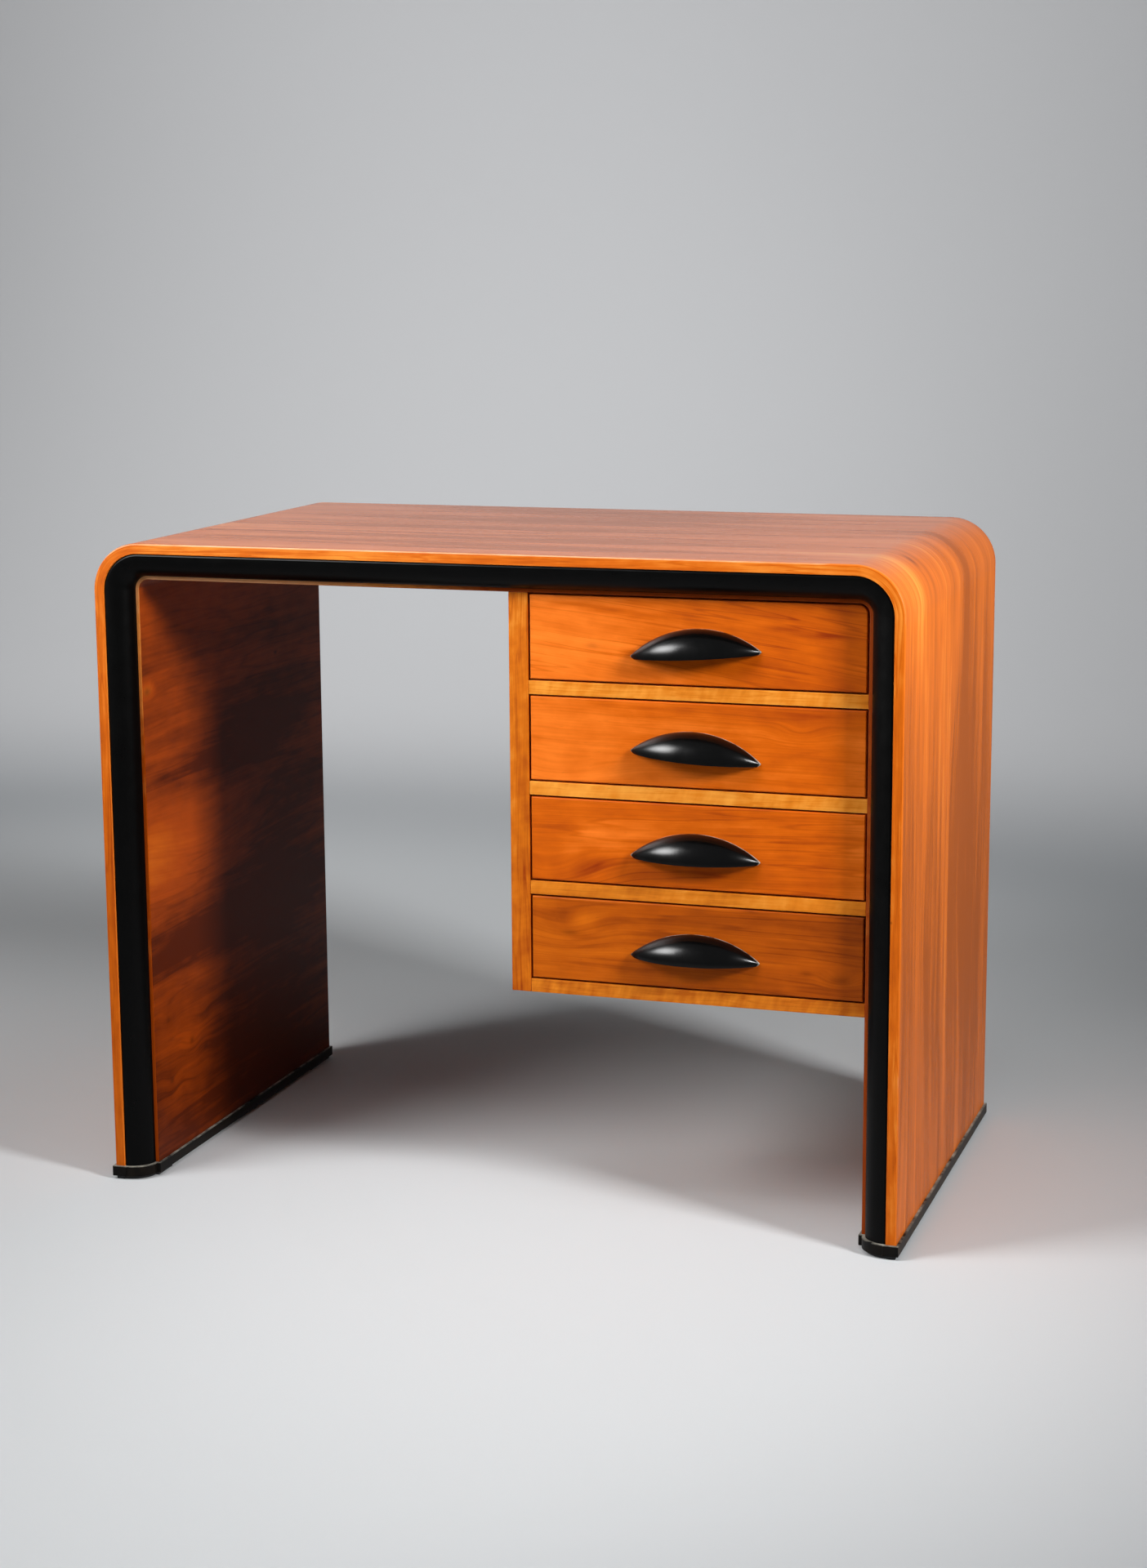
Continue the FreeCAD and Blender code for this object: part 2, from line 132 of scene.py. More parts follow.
# What each wood is, and its dark, main and light colours
PALETTES = {
    "shell": ("shell veneer", "a6541e", "d86e20", "f39a3c"),
    "drawer": ("drawer veneer", "8c2d01", "cb5c06", "f47d27"),
    "brown": ("bottom drawer's veneer", "6a2602", "aa4c05", "d2690d"),
    "lining": ("lining veneer", "4a1702", "9a3d03", "c8620c"),
    "pedestal": ("solid pedestal wood", "b0560b", "d67a1c", "ee9e3e"),
    "birch": ("plywood panels", "b07f48", "d3a56c", "e6c592"),
}
TONES = {"dark": "Dark figure", "mid": "Main tone", "light": "Light figure"}


class DeskFinishes(bpy.types.PropertyGroup):
    """Colours of the woods, the black lacquer and the hardware."""

    stile: colour("Stile", "Main tone of the stile beside the drawers", "cb6a10")
    edge_tone: colour("Edge tone", "Main tone of the skin's front edge", "cb610d")
    # The arris colour is partly rubbed wood and partly a painted highlight along the skin's front edge.
    arris: colour("Arris", "Rubbed arris along the skin's front edge", "d6a57c")
    # Both lining edge colours are painted light: paler than the wood, to make up for the shade the bead casts
    # on the edge.
    lining_edge: colour("Lining edge", "Front edge of the lining", "e0863c")
    lining_edge_highlight: colour("Lining edge highlight", "Painted highlight on the lining's front edge", "f6b07a")
    black: colour("Black", "Black lacquer of bead, plinths and pulls", "040404")
    worn: colour("Worn", "Wood that shows where the black has worn", "8b6a3f")
    # This pale colour is dust on the plinths; round the pulls it is partly dust and partly a painted highlight.
    dust: colour("Dust", "Dust on the plinths and round the pulls", "a8a498")
    beech: colour("Beech", "Drawer boxes", "d8b07c")
    softwood: colour("Softwood", "Carcass pieces", "d6b27a")
    zinc: colour("Zinc", "Screws", "c3c4c2")
    rubber: colour("Rubber", "Glide pads", "1c1c1d")


# Every tone of every wood is a setting too
DeskFinishes.__annotations__.update({
    f"{leaf}_{tone}": colour(f"{leaf.capitalize()} {tone}", f"{part} of the {stuff}", hex_code)
    for leaf, (stuff, *hex_codes) in PALETTES.items()
    for (tone, part), hex_code in zip(TONES.items(), hex_codes)
})


class DeskStage(bpy.types.PropertyGroup):
    """Colours of the paper and power of the lamps."""

    paper: colour("Paper", "Floor under and before the desk", "d5d8da")
    # The darker paper behind the desk is painted shade, where the light falls off.
    paper_painted_shade: colour("Paper painted shade", "Floor behind the desk, where the paper darkens", "a3a6a9")
    paper_wall: colour("Paper wall", "Backdrop above the desk", "d0d1d3")
    surround: colour("Surround", "Studio beyond the paper, as the eye and reflections see it", "909294")
    left_power: power("Left", "Softbox at the front left", 7.3)
    glint_power: power("Glint", "Card at the left softbox that shows only in gloss", 38.0)
    right_power: power("Right", "Softbox at the right", 19.9)
    top_power: power("Top", "Softbox high in front of the desk", 6.5)
    floor_power: power("Floor", "Softbox over the floor before the desk", 8.4)
    side_power: power("Side", "Softbox over the floor at the left", 1.35)
    wall_power: power("Wall", "Softbox that lights the backdrop", 48.5)
    ambient: FloatProperty(name="Ambient", description="Even light from all round", default=0.043, min=0.0)


def settings_of(scene):
    return scene.desk_sizes, scene.desk_finishes


def palette(tones, leaf):
    """The dark, main and light tones of a veneer or a solid wood."""
    return [getattr(tones, f"{leaf}_{tone}") for tone in TONES]


# Shader building

def fill(tree, node, inputs):
    """Sets or links a node's inputs; a node given as a value stands for its first output."""
    for socket, value in inputs.items():
        if isinstance(value, bpy.types.Node):
            value = value.outputs[0]
        if isinstance(value, bpy.types.NodeSocket):
            tree.links.new(value, node.inputs[socket])
        else:
            node.inputs[socket].default_value = value


def add(tree, kind, inputs=None, **settings):
    """Adds a shader node with its settings and inputs."""
    node = tree.nodes.new("ShaderNode" + kind)
    for option, value in settings.items():
        setattr(node, option, value)
    fill(tree, node, inputs or {})
    return node


def start_material(name):
    """A new material with its tree, its shader and the function that adds nodes to that tree."""
    material = bpy.data.materials.new(name)
    material.use_nodes = True
    tree = material.node_tree
    return material, tree, tree.nodes["Principled BSDF"], partial(add, tree)


class Knot(NamedTuple):
    """A place that the grain flows round, in metres along and across the grain.

    Push is how far it bends the grain, dark how dark its heart is, and lift how much lighter it lies.
    A knot with only a lift is a patch of lighter or darker tone, and some such patches are painted light and
    painted shade.
    """

    along: float
    across: float
    length: float
    width: float
    push: float = 0.0
    dark: float = 0.0
    lift: float = 0.0


class Grain(NamedTuple):
    """How a piece of wood is figured, in metres.

    Weights are those of the broad bands, the growth lines, the fibres and the soft mottle. Ring is how dark
    the thin lines between the bands are, fleck how dark the gum flecks are and curl how strong the cross
    figure is. Tone is how much lighter the leaf is than its palette's middle. Painted falloff is how much it
    darkens for each metre along the grain from its middle: painted shade beyond the middle and painted light
    before it, for light that falls off across the piece.
    """

    run: float = 0.32
    band: float = 0.035
    line: float = 0.006
    fibre: float = 0.0018
    drift: float = 0.012
    slope: float = 0.0
    weights: tuple = (0.32, 0.22, 0.24, 0.22)
    ring: float = 0.06
    fleck: float = 0.25
    curl: float = 0.0
    contrast: float = 1.0
    tone: float = 0.0
    fall: float = 0.0
    middle: float = 0.0
    knots: tuple = ()


class Finish(NamedTuple):
    """Roughness and specular level of a wood's surface.

    A fade gives the middle of a polished stretch along the grain, the distances from it over which the polish
    goes, and the specular level beyond.
    """

    roughness: float
    specular: float
    fade: tuple = ()


# The shell's lacquer shines on the top and dulls down the legs; rubbed, oiled and bare wood hardly shine.
SATIN_LACQUER = Finish(0.22, 0.50, (quarter_turn + bend_x, 0.38, 0.52, 0.012))
RUBBED_LACQUER = Finish(0.34, 0.07)
OILED = Finish(0.36, 0.05)
BARE_PLANED = Finish(0.62, 0.30)
POLISHED_BLACK = Finish(0.20, 0.17)
DULL_BLACK = Finish(0.30, 0.06)
RUBBED_BLACK = Finish(0.42, 0.08)
LACQUER_IOR = 1.5

# Rows that turn (x, y, z) into (along the grain, across it, through the leaf)
GRAIN_ALONG_X = ((1, 0, 0), (0, 0, 1), (0, -1, 0))
GRAIN_ALONG_Y = ((0, 1, 0), (0, 0, 1), (1, 0, 0))

# Sizes in metres, along and across the grain, of figure that all the woods share
DRIFT_SIZE = (0.35, 0.11, 1.0)
MOTTLE_SIZE = (0.035, 0.016)
CURL_SIZE = (0.010, 0.03, 0.03)
CURL_LEAN = (0.0, 0.0, -0.35)
FLECK_SIZE = (0.009, 0.0014, 0.0014)

# Lengths of the broad bands, the growth lines and the fibres, as shares of a grain's run
RUN_SHARES = (1.6, 0.6, 0.2)

# Late wood: how many lines the bands' range holds, and half a line's share of the step between two
RING_LEVELS = 9.0
RING_WIDTH = 0.16

# Where a palette's dark, main and light colours lie on the scale of tones
DARK_TONE, MAIN_TONE, LIGHT_TONE = 0.30, 0.50, 0.68

# Scuffs and pores of the black lacquer, in metres
SCUFF_SIZE = 0.022
PORE_SIZE = 0.0025


def wood(name, tones, grain, finish, turn=None, shift=(0.0, 0.0, 0.0)):
    """Sliced or planed wood: broad bands, growth lines and fibres that follow the grain round its knots.

    Tones are dark, main and light. A piece with its own grain attribute needs no turn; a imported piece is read
    in its own coordinates, turned so that its grain runs along the first axis.
    """
    material, tree, shader, put = start_material(name)
    if turn is None:
        place = put("Attribute", attribute_name=GRAIN).outputs["Vector"]
    else:
        local = put("TexCoord").outputs["Object"]
        turned = Matrix(turn).to_euler()
        place = put("Mapping", {"Vector": local, "Rotation": turned, "Location": shift}).outputs[0]
    axes = put("SeparateXYZ", {"Vector": place})
    along = axes.outputs["X"]
    wide = put("VectorMath", {0: place, 1: [1 / size for size in DRIFT_SIZE]}, operation="MULTIPLY")
    drift = put("TexNoise", {"Vector": wide, "Scale": 1.0, "Detail": 2.0})
    across = put("Math", {0: along, 1: grain.slope, 2: axes.outputs["Y"]}, operation="MULTIPLY_ADD")
    across = put("Math", {0: drift, 1: grain.drift, 2: across}, operation="MULTIPLY_ADD")
    heart = None
    # What makes the tone, each with its weight
    # A painted falloff darkens the tone along the grain: painted light before the middle, painted shade beyond
    # it.
    shares = [(along, -grain.fall)]
    for knot in grain.knots:
        scale = (1 / knot.length, 1 / knot.width, 0.0)
        centre = (-knot.along / knot.length, -knot.across / knot.width, 0.0)
        near = put("Mapping", {"Vector": place, "Scale": scale, "Location": centre})
        near = put("TexGradient", {"Vector": near}, gradient_type="SPHERICAL").outputs["Fac"]
        swell = put("MapRange", {"Value": near}, **SMOOTH)
        if knot.push:
            across = put("Math", {0: swell, 1: knot.push, 2: across}, operation="MULTIPLY_ADD")
        if knot.lift:
            shares.append((swell, knot.lift))
        if knot.dark:
            core = put("Math", {0: swell, 1: 3.0}, operation="POWER")
            heart = put("Math", {0: core, 1: knot.dark, 2: heart or 0.0}, operation="MULTIPLY_ADD")
    laid = put("CombineXYZ", {"X": along, "Y": across, "Z": axes.outputs["Z"]})

    # Each layer has a length and a width; fibres are drawn coarser than the real 0.1 mm so that they show.
    widths = (grain.band, grain.line, grain.fibre)
    sizes = [(grain.run * share, width) for share, width in zip(RUN_SHARES, widths)] + [MOTTLE_SIZE]
    layers = []
    for (layer_length, layer_width), weight in zip(sizes, grain.weights):
        stretch = (1 / layer_length, 1 / layer_width, 1 / layer_width)
        scaled = put("VectorMath", {0: laid, 1: stretch}, operation="MULTIPLY")
        noise = put("TexNoise", {"Vector": scaled, "Scale": 1.0, "Detail": 3.0})
        layers.append(noise)
        shares.append((noise, weight * grain.contrast))
    if grain.curl:
        lean = {"Vector": laid, "Rotation": CURL_LEAN, "Scale": CURL_SIZE}
        leaning = put("Mapping", lean, vector_type="TEXTURE")
        noise = put("TexNoise", {"Vector": leaning, "Scale": 1.0, "Detail": 2.0})
        shares.append((noise, grain.curl * grain.contrast))

    # Late wood draws a thin line wherever the bands pass one of a row of even levels.
    levels = put("Math", {0: layers[0], 1: RING_LEVELS}, operation="MULTIPLY")
    level = put("Math", {0: levels, 1: 0.5}, operation="PINGPONG")
    line = {"Value": level, "From Max": RING_WIDTH, "To Min": -grain.ring, "To Max": 0.0}
    shares.append((put("MapRange", line, **SMOOTH), 1.0))

    # Noise averages a half, so half of every layer's weight comes off the main tone first.
    tone = MAIN_TONE + grain.tone - 0.5 * grain.contrast * (sum(grain.weights) + grain.curl)
    tone += grain.fall * grain.middle
    for layer, weight in shares:
        tone = put("Math", {0: layer, 1: weight, 2: tone}, operation="MULTIPLY_ADD")
    ramp = put("ValToRGB", {"Fac": tone})
    stops = ramp.color_ramp.elements
    stops[0].position, stops[0].color = DARK_TONE, tones[0]
    stops[1].position, stops[1].color = LIGHT_TONE, tones[2]
    stops.new(MAIN_TONE).color = tones[1]

    # Gum flecks, drawn wider than the real half millimetre so that they show, and the knots' dark hearts.
    specks = put("VectorMath", {0: laid, 1: [1 / size for size in FLECK_SIZE]}, operation="MULTIPLY")
    specks = put("TexNoise", {"Vector": specks, "Scale": 1.0, "Detail": 1.0})
    fleck = put("MapRange", {"Value": specks, "From Min": 0.70, "From Max": 0.82, "To Max": grain.fleck})
    darkening = fleck if heart is None else put("Math", {0: fleck, 1: heart}, operation="MAXIMUM")
    deep = tuple(0.30 * c for c in tones[0][:3]) + (1.0,)
    shade = put("Mix", {0: darkening.outputs[0], 6: ramp, 7: deep}, data_type="RGBA").outputs[2]

    # Open pores leave the dark wood a little duller than the light.
    dull = finish.roughness
    rough = put("MapRange", {"Value": tone, "From Min": 0.3, "From Max": 0.7,
                             "To Min": dull + 0.07, "To Max": dull - 0.05})
    bump = put("Bump", {"Height": tone, "Strength": 0.12, "Distance": 0.0006})
    specular = finish.specular
    if finish.fade:
        centre, start, end, rest = finish.fade
        away = put("Math", {0: along, 1: centre}, operation="SUBTRACT")
        away = put("Math", {0: away}, operation="ABSOLUTE")
        span = {"Value": away, "From Min": start, "From Max": end, "To Min": specular, "To Max": rest}
        specular = put("MapRange", span, **SMOOTH)
    fill(tree, shader, {
        "Base Color": shade,
        "Roughness": rough,
        "Normal": bump,
        "IOR": LACQUER_IOR,
        "Specular IOR Level": specular,
    })
    return material


def black_lacquer(name, black, worn, finish, wear=0.0, rim=None):
    """Ebonised wood under satin lacquer: near black, with wood or dust showing where it has worn.

    Wear is how much of the whole surface is rubbed; a rim is a span of depths over which it grows.
    """
    material, tree, shader, put = start_material(name)
    local = put("TexCoord").outputs["Object"]
    scuffs = put("TexNoise", {"Vector": local, "Scale": 1 / SCUFF_SIZE, "Detail": 5.0, "Roughness": 0.65})
    pores = put("TexNoise", {"Vector": local, "Scale": 1 / PORE_SIZE, "Detail": 2.0})
    patchy = put("MapRange", {"Value": scuffs, "From Min": 0.38, "From Max": 0.62})
    if rim:
        depth = put("SeparateXYZ", {"Vector": local}).outputs["Y"]
        near = put("MapRange", {"Value": depth, "From Min": rim[0], "From Max": rim[1]})
        rubbed = put("Math", {0: near, 1: patchy}, operation="MULTIPLY")
    else:
        rubbed = put("Math", {0: patchy, 1: wear}, operation="MULTIPLY")
    shade = put("Mix", {0: rubbed.outputs[0], 6: black, 7: worn}, data_type="RGBA").outputs[2]
    rough = put("MapRange", {"Value": scuffs, "From Min": 0.3, "From Max": 0.7,
                             "To Min": finish.roughness - 0.03, "To Max": finish.roughness + 0.05})
    bump = put("Bump", {"Height": pores, "Strength": 0.04, "Distance": 0.0003})
    fill(tree, shader, {
        "Base Color": shade,
        "Roughness": rough,
        "Normal": bump,
        "IOR": LACQUER_IOR,
        "Specular IOR Level": finish.specular,
    })
    return material


def speckled(name, tone, roughness, grit, metallic=0.0):
    """A plain surface with fine grit in its colour, roughness and relief: zinc plate or rubber."""
    material, tree, shader, put = start_material(name)
    local = put("TexCoord").outputs["Object"]
    fine = put("TexNoise", {"Vector": local, "Scale": 1 / grit, "Detail": 4.0})
    darker = tuple(0.86 * c for c in tone[:3]) + (1.0,)
    shade = put("Mix", {0: fine.outputs[0], 6: darker, 7: tone}, data_type="RGBA").outputs[2]
    rough = put("MapRange", {"Value": fine, "To Min": roughness - 0.08, "To Max": roughness + 0.08})
    bump = put("Bump", {"Height": fine, "Strength": 0.1, "Distance": grit * 0.2})
    fill(tree, shader, {"Base Color": shade, "Roughness": rough, "Normal": bump, "Metallic": metallic})
    return material


# Mesh building

def only_face(geometry):
    return next(item for item in geometry if isinstance(item, bmesh.types.BMFace))


def quarter_spin(bm, geometry, centre, axis, steps):
    """Sweeps geometry through a quarter turn and gives its end."""
    spun = bmesh.ops.spin(bm, geom=geometry, cent=centre, axis=axis, angle=math.pi / 2, steps=steps)
    return spun["geom_last"]


def quarter_round(bm, heel, depth, width):
    """Vertices of a quarter ellipse about its heel, from straight in front of it round to its right."""
    start = bm.verts.new(heel - Vector((0.0, depth, 0.0)))
    quarter_spin(bm, [start], heel, (0, 0, 1), ROUND_STEPS)
    arc = list(bm.verts)
    bmesh.ops.scale(bm, vec=(width / depth, 1, 1), space=Matrix.Translation(-heel), verts=arc)
    return arc


def ease_corners(bm, verts, size, segments=3):
    bmesh.ops.bevel(
        bm, geom=verts, offset=size, offset_type="OFFSET", segments=segments, profile=0.5,
        affect="VERTICES", material=-1,
    )


def ease_edges(bm, size, least_angle=0.6, segments=2):
    """Rounds every edge that turns by more than an angle; gives the new faces."""
    sharp = [edge for edge in bm.edges if edge.calc_face_angle(0.0) > least_angle]
    return bmesh.ops.bevel(
        bm, geom=sharp, offset=size, offset_type="OFFSET", segments=segments, profile=0.5,
        affect="EDGES", material=-1, clamp_overlap=True,
    )["faces"]


def arch_section(bm, outer_inset, inner_inset, front_y, back_y, outer_ease, inner_ease):
    """The section of an arch layer at the left foot, with its outer and inner corners rounded."""
    outer_x = -half_width + outer_inset
    inner_x = -half_width + inner_inset
    outer = [bm.verts.new((outer_x, y, foot_z)) for y in (back_y, front_y)]
    inner = [bm.verts.new((inner_x, y, foot_z)) for y in (front_y, back_y)]
    bm.faces.new(outer + inner)
    if outer_ease:
        ease_corners(bm, outer, outer_ease, segments=4)
    if inner_ease:
        ease_corners(bm, inner, inner_ease)
    return only_face(bm.faces)


# The arch is walked in five stretches: straight ones give a vector, bends the centre that they turn about.
ARCH = (
    (False, Vector((0, 0, bend_z - foot_z))),
    (True, Vector((-bend_x, 0, bend_z))),
    (False, Vector((2 * bend_x, 0, 0))),
    (True, Vector((bend_x, 0, bend_z))),
    (False, Vector((0, 0, foot_z - bend_z))),
)


def walk_arch(bm, section, first=0, last=4):
    """Carries a section from the left foot to the first stretch and sweeps it to the end of the last."""
    for number, (bends, vector) in enumerate(ARCH[:last + 1]):
        swept = number >= first
        if bends and swept:
            geometry = [section] + list(section.edges) + list(section.verts)
            section = only_face(quarter_spin(bm, geometry, vector, (0, 1, 0), BEND_STEPS))
        elif bends:
            quarter = Matrix.Rotation(math.pi / 2, 3, "Y")
            bmesh.ops.rotate(bm, cent=vector, matrix=quarter, verts=section.verts)
        else:
            if swept:
                section = only_face(bmesh.ops.extrude_face_region(bm, geom=[section])["geom"])
            bmesh.ops.translate(bm, vec=vector, verts=section.verts)


def arch_place(point):
    """How far a point lies along the arch from the foot of the left bend, and how deep in it."""
    out_x = abs(point.x) - bend_x
    out_z = point.z - bend_z
    past_left = point.x < 0
    if out_z <= 0:
        along = out_z if past_left else 2 * quarter_turn + 2 * bend_x - out_z
        return along, half_width - abs(point.x)
    if out_x <= 0:
        return quarter_turn + bend_x + point.x, top_z - point.z
    turned = outer_radius * math.atan2(out_z, out_x)
    along = turned if past_left else 2 * quarter_turn + 2 * bend_x - turned
    return along, outer_radius - math.hypot(out_x, out_z)


def along_arch(point):
    along, depth = arch_place(point)
    return along, point.y + depth, 0.0


def across_arch(point):
    along, depth = arch_place(point)
    return point.y + depth, along, 0.0


def along_axis(axis, leaf):
    """A grain that runs along one axis, with its own leaf of wood."""
    def place(point):
        return point[axis] + leaf, point[(axis + 1) % 3] + point[(axis + 2) % 3], leaf
    return place


def front_is_edge(face):
    """The second material is for faces that look straight to the front."""
    return 1 if face.normal.y < -SQUARE_ON else 0


def edge_or_arris(face):
    """The second material is for the front edge, the third for the rounding at its outer side."""
    if face.normal.y < -SQUARE_ON:
        return 1
    depth = arch_place(face.calc_center_median())[1]
    return 2 if face.normal.y < -ARRIS_FACING and depth < core_inset / 2 else 0


def finished_mesh(bm, name, materials):
    """Turns a bmesh into a smooth mesh with its materials."""
    mesh = bpy.data.meshes.new(name)
    bm.to_mesh(mesh)
    bm.free()
    for material in materials:
        mesh.materials.append(material)
    mesh.shade_smooth()
    return mesh


def add_object(name, data):
    made = bpy.data.objects.new(name, data)
    bpy.context.collection.objects.link(made)
    return made


def add_piece(bm, name, nodes, materials, grain=None, material_of=None):
    """Makes a finished piece from a bmesh, lays its grain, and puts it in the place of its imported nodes."""
    bmesh.ops.recalc_face_normals(bm, faces=bm.faces)
    if material_of:
        for face in bm.faces:
            face.material_index = material_of(face)
    mesh = finished_mesh(bm, name, materials)
    if grain:
        layer = mesh.attributes.new(GRAIN, "FLOAT_VECTOR", "POINT")
        for vertex in mesh.vertices:
            layer.data[vertex.index].vector = grain(vertex.co)
    mesh.set_sharp_from_angle(angle=SHARP_ANGLE)
    piece = add_object(name, mesh)
    piece.modifiers.new("Even shading", "WEIGHTED_NORMAL").keep_sharp = True
    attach(piece, "desk")
    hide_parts(*nodes)
    return piece


def finish_nodes(names, material):
    """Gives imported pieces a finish."""
    for name in names:
        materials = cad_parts[name].data.materials
        materials.clear()
        materials.append(material)


def block(low, high):
    bm = bmesh.new()
    bmesh.ops.create_cube(bm, size=1.0)
    bmesh.ops.scale(bm, vec=high - low, verts=bm.verts)
    bmesh.ops.translate(bm, vec=(low + high) / 2, verts=bm.verts)
    return bm


# Operators, one for each piece or group of like pieces

class DESK_OT_shell(bpy.types.Operator):
    """Lay the bent outer skin with its veneer and its solid front edge"""

    bl_idname = "desk.shell"
    bl_label = "Outer shell"

    def execute(self, context):
        sizes, tones = settings_of(context.scene)
        # Knife-cut cherry veneer, satin lacquered: broad soft bands, a few knots and a clear gloss.
        figure = Grain(
            run=0.55, band=0.06, line=0.016, fibre=0.004, drift=0.03, contrast=1.4,
            weights=(0.42, 0.26, 0.14, 0.06), ring=0.04, fleck=0.2,
            knots=(
                # Two wide patches are painted shade: the one over the whole top darkens it under the light and
                # sheen it takes, and the one over the right leg darkens it towards the floor, where the light
                # falls off.
                Knot(0.959, -0.131, 0.030, 0.014, 0.006, 0.7), Knot(1.35, 0.02, 0.30, 0.10, 0.03),
                Knot(0.98, -0.225, 0.17, 0.07, lift=0.14), Knot(1.40, -0.015, 0.50, 0.014, lift=0.14),
                Knot(1.15, 0.10, 0.40, 0.09, lift=-0.08), Knot(1.42, 0.0, 0.62, 0.70, lift=-0.16),
                Knot(1.40, 0.16, 0.60, 0.17, lift=-0.10), Knot(0.48, 0.0, 0.62, 0.90, lift=-0.15),
            ),
        )
        veneer = wood("lacquered cherry veneer, shell", palette(tones, "shell"), figure, SATIN_LACQUER)
        # Sanded cherry edge, rubbed with use: plain long grain with hardly any gloss.
        edge = wood(
            "lacquered cherry edge", (tones.drawer_dark, tones.edge_tone, tones.shell_light),
            Grain(
                run=0.25, band=0.02, line=0.004, weights=(0.32, 0.16, 0.16, 0.2),
                knots=(
                    Knot(0.50, 0.0, 0.65, 10.0, lift=0.05), Knot(-0.35, 0.0, 0.50, 10.0, lift=-0.06),
                    Knot(1.343, -0.264, 0.004, 0.003, dark=0.7),
                ),
            ),
            RUBBED_LACQUER,
        )
        # The same wood where hands have rubbed its corner: a paler line that is partly rubbed wood and partly a
        # painted highlight, brightest along the top.
        arris = wood(
            "lacquered cherry, rubbed arris", (tones.edge_tone, tones.shell_mid, tones.arris),
            Grain(
                run=0.25, band=0.02, line=0.004, tone=-0.04, knots=(Knot(0.50, 0.0, 0.62, 10.0, lift=0.26),),
            ),
            RUBBED_LACQUER,
        )
        bm = bmesh.new()
        section = arch_section(
            bm, 0.0, core_inset, shell_low.y, shell_high.y, sizes.skin_arris, sizes.skin_inner_arris
        )
        walk_arch(bm, section)
        finishes = [veneer, edge, arris]
        add_piece(bm, "shell_skin", ["outer_shell"], finishes, along_arch, edge_or_arris)
        lipping_low, lipping_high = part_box("rear_lipping")
        bm = bmesh.new()
        ease = sizes.skin_inner_arris
        section = arch_section(bm, core_inset, lining_inset, lipping_low.y, lipping_high.y, ease, ease)
        walk_arch(bm, section)
        add_piece(bm, "shell_lipping", ["rear_lipping"], [edge], along_arch)
        return {"FINISHED"}


class DESK_OT_lining(bpy.types.Operator):
    """Lay the thin lining inside the legs and under the top"""

    bl_idname = "desk.lining"
    bl_label = "Inner lining"

    def execute(self, context):
        sizes, tones = settings_of(context.scene)
        # Knife-cut cherry veneer, oiled: dark red-brown with swirls, and burr eyes low on the left leg.
        # Three of these are painted light and shade: the lighter patch near the front of the left leg, and the
        # wide darker patches over the leg's back half and its lower part.
        knots = (
            Knot(-0.193, -0.122, 0.030, 0.016, 0.012, 0.6, 0.2),
            Knot(0.173, -0.125, 0.012, 0.007, 0.004, 0.8), Knot(-0.05, -0.33, 0.25, 0.07, 0.02),
            Knot(-0.20, -0.31, 0.22, 0.08, lift=0.13),
            Knot(0.04, -0.22, 0.36, 0.07, lift=-0.14), Knot(0.0, -0.43, 0.50, 0.07, lift=-0.14),
            Knot(0.18, -0.35, 0.30, 0.70, lift=-0.10), Knot(-0.14, -0.58, 0.12, 0.09, lift=0.09),
            Knot(-0.10, -0.69, 0.80, 0.34, lift=-0.13),
        )
        burr_eyes = (
            (-0.167, -0.526, 0.007, 0.40), (-0.105, -0.568, 0.007, 0.50), (-0.067, -0.586, -0.005, 0.40),
            (-0.162, -0.603, 0.007, 0.55), (-0.133, -0.621, -0.006, 0.20), (-0.075, -0.544, 0.006, 0.20),
        )
        # Each eye bends the grain over an oval and has a smaller dark heart.
        eye_swell = (0.036, 0.026)
        eye_heart = (0.016, 0.012)
        for along, across, push, dark in burr_eyes:
            knots += (Knot(along, across, *eye_swell, push), Knot(along, across, *eye_heart, dark=dark))
        veneer = wood(
            "lacquered cherry veneer, lining", palette(tones, "lining"),
            Grain(
                run=0.45, band=0.06, line=0.012, fibre=0.003, weights=(0.32, 0.12, 0.08, 0.10), ring=0.03,
                fleck=0.1, tone=-0.07, knots=knots,
            ),
            OILED,
        )
        # The veneer's cut edge, sanded: a tan line painted paler than the wood and brightest on its left part,
        # painted light where the bead shades the edge, so that it darkens to the right.
        edge = wood(
            "lacquered cherry lining edge", (tones.lining_mid, tones.lining_edge, tones.lining_edge_highlight),
            Grain(
                run=0.03, band=0.40, line=0.15, fibre=0.05, contrast=0.6, ring=0.0, fleck=0.0, tone=-0.24,
                knots=(Knot(-0.22, 0.16, 1.0, 0.46, lift=0.44),),
            ),
            RUBBED_LACQUER,
        )
        bm = bmesh.new()
        section = arch_section(
            bm, lining_inset, inside_inset, lining_low.y, lining_high.y, 0.0, sizes.lining_arris
        )
        walk_arch(bm, section)
        add_piece(
            bm, "shell_lining", ["inner_lining"], [veneer, edge], across_arch, front_is_edge
        )
        return {"FINISHED"}


class DESK_OT_beads(bpy.types.Operator):
    """Run the black quarter-round bead along the shell's front edge in five lengths"""

    bl_idname = "desk.beads"
    bl_label = "Black beads"

    def execute(self, context):
        sizes, tones = settings_of(context.scene)
        # Wood stained black under a thin satin lacquer: near black, with a faint sheen along the curve.
        black = black_lacquer("ebonised bead, satin lacquer", tones.black, tones.worn, DULL_BLACK)
        names = ("left_bead", "left_corner_bead", "top_bead", "right_corner_bead", "right_bead")
        heel = Vector((bead_low.x, bead_high.y, foot_z))
        for number, node in enumerate(names):
            bm = bmesh.new()
            arc = quarter_round(bm, heel, bead_high.y - bead_low.y, bead_high.x - bead_low.x)
            bm.faces.new(arc + [bm.verts.new(heel)])
            ease_corners(bm, arc[:1], sizes.bead_shoulder)
            walk_arch(bm, only_face(bm.faces), number, number)
            add_piece(bm, node + "_moulding", [node], [black])
        return {"FINISHED"}


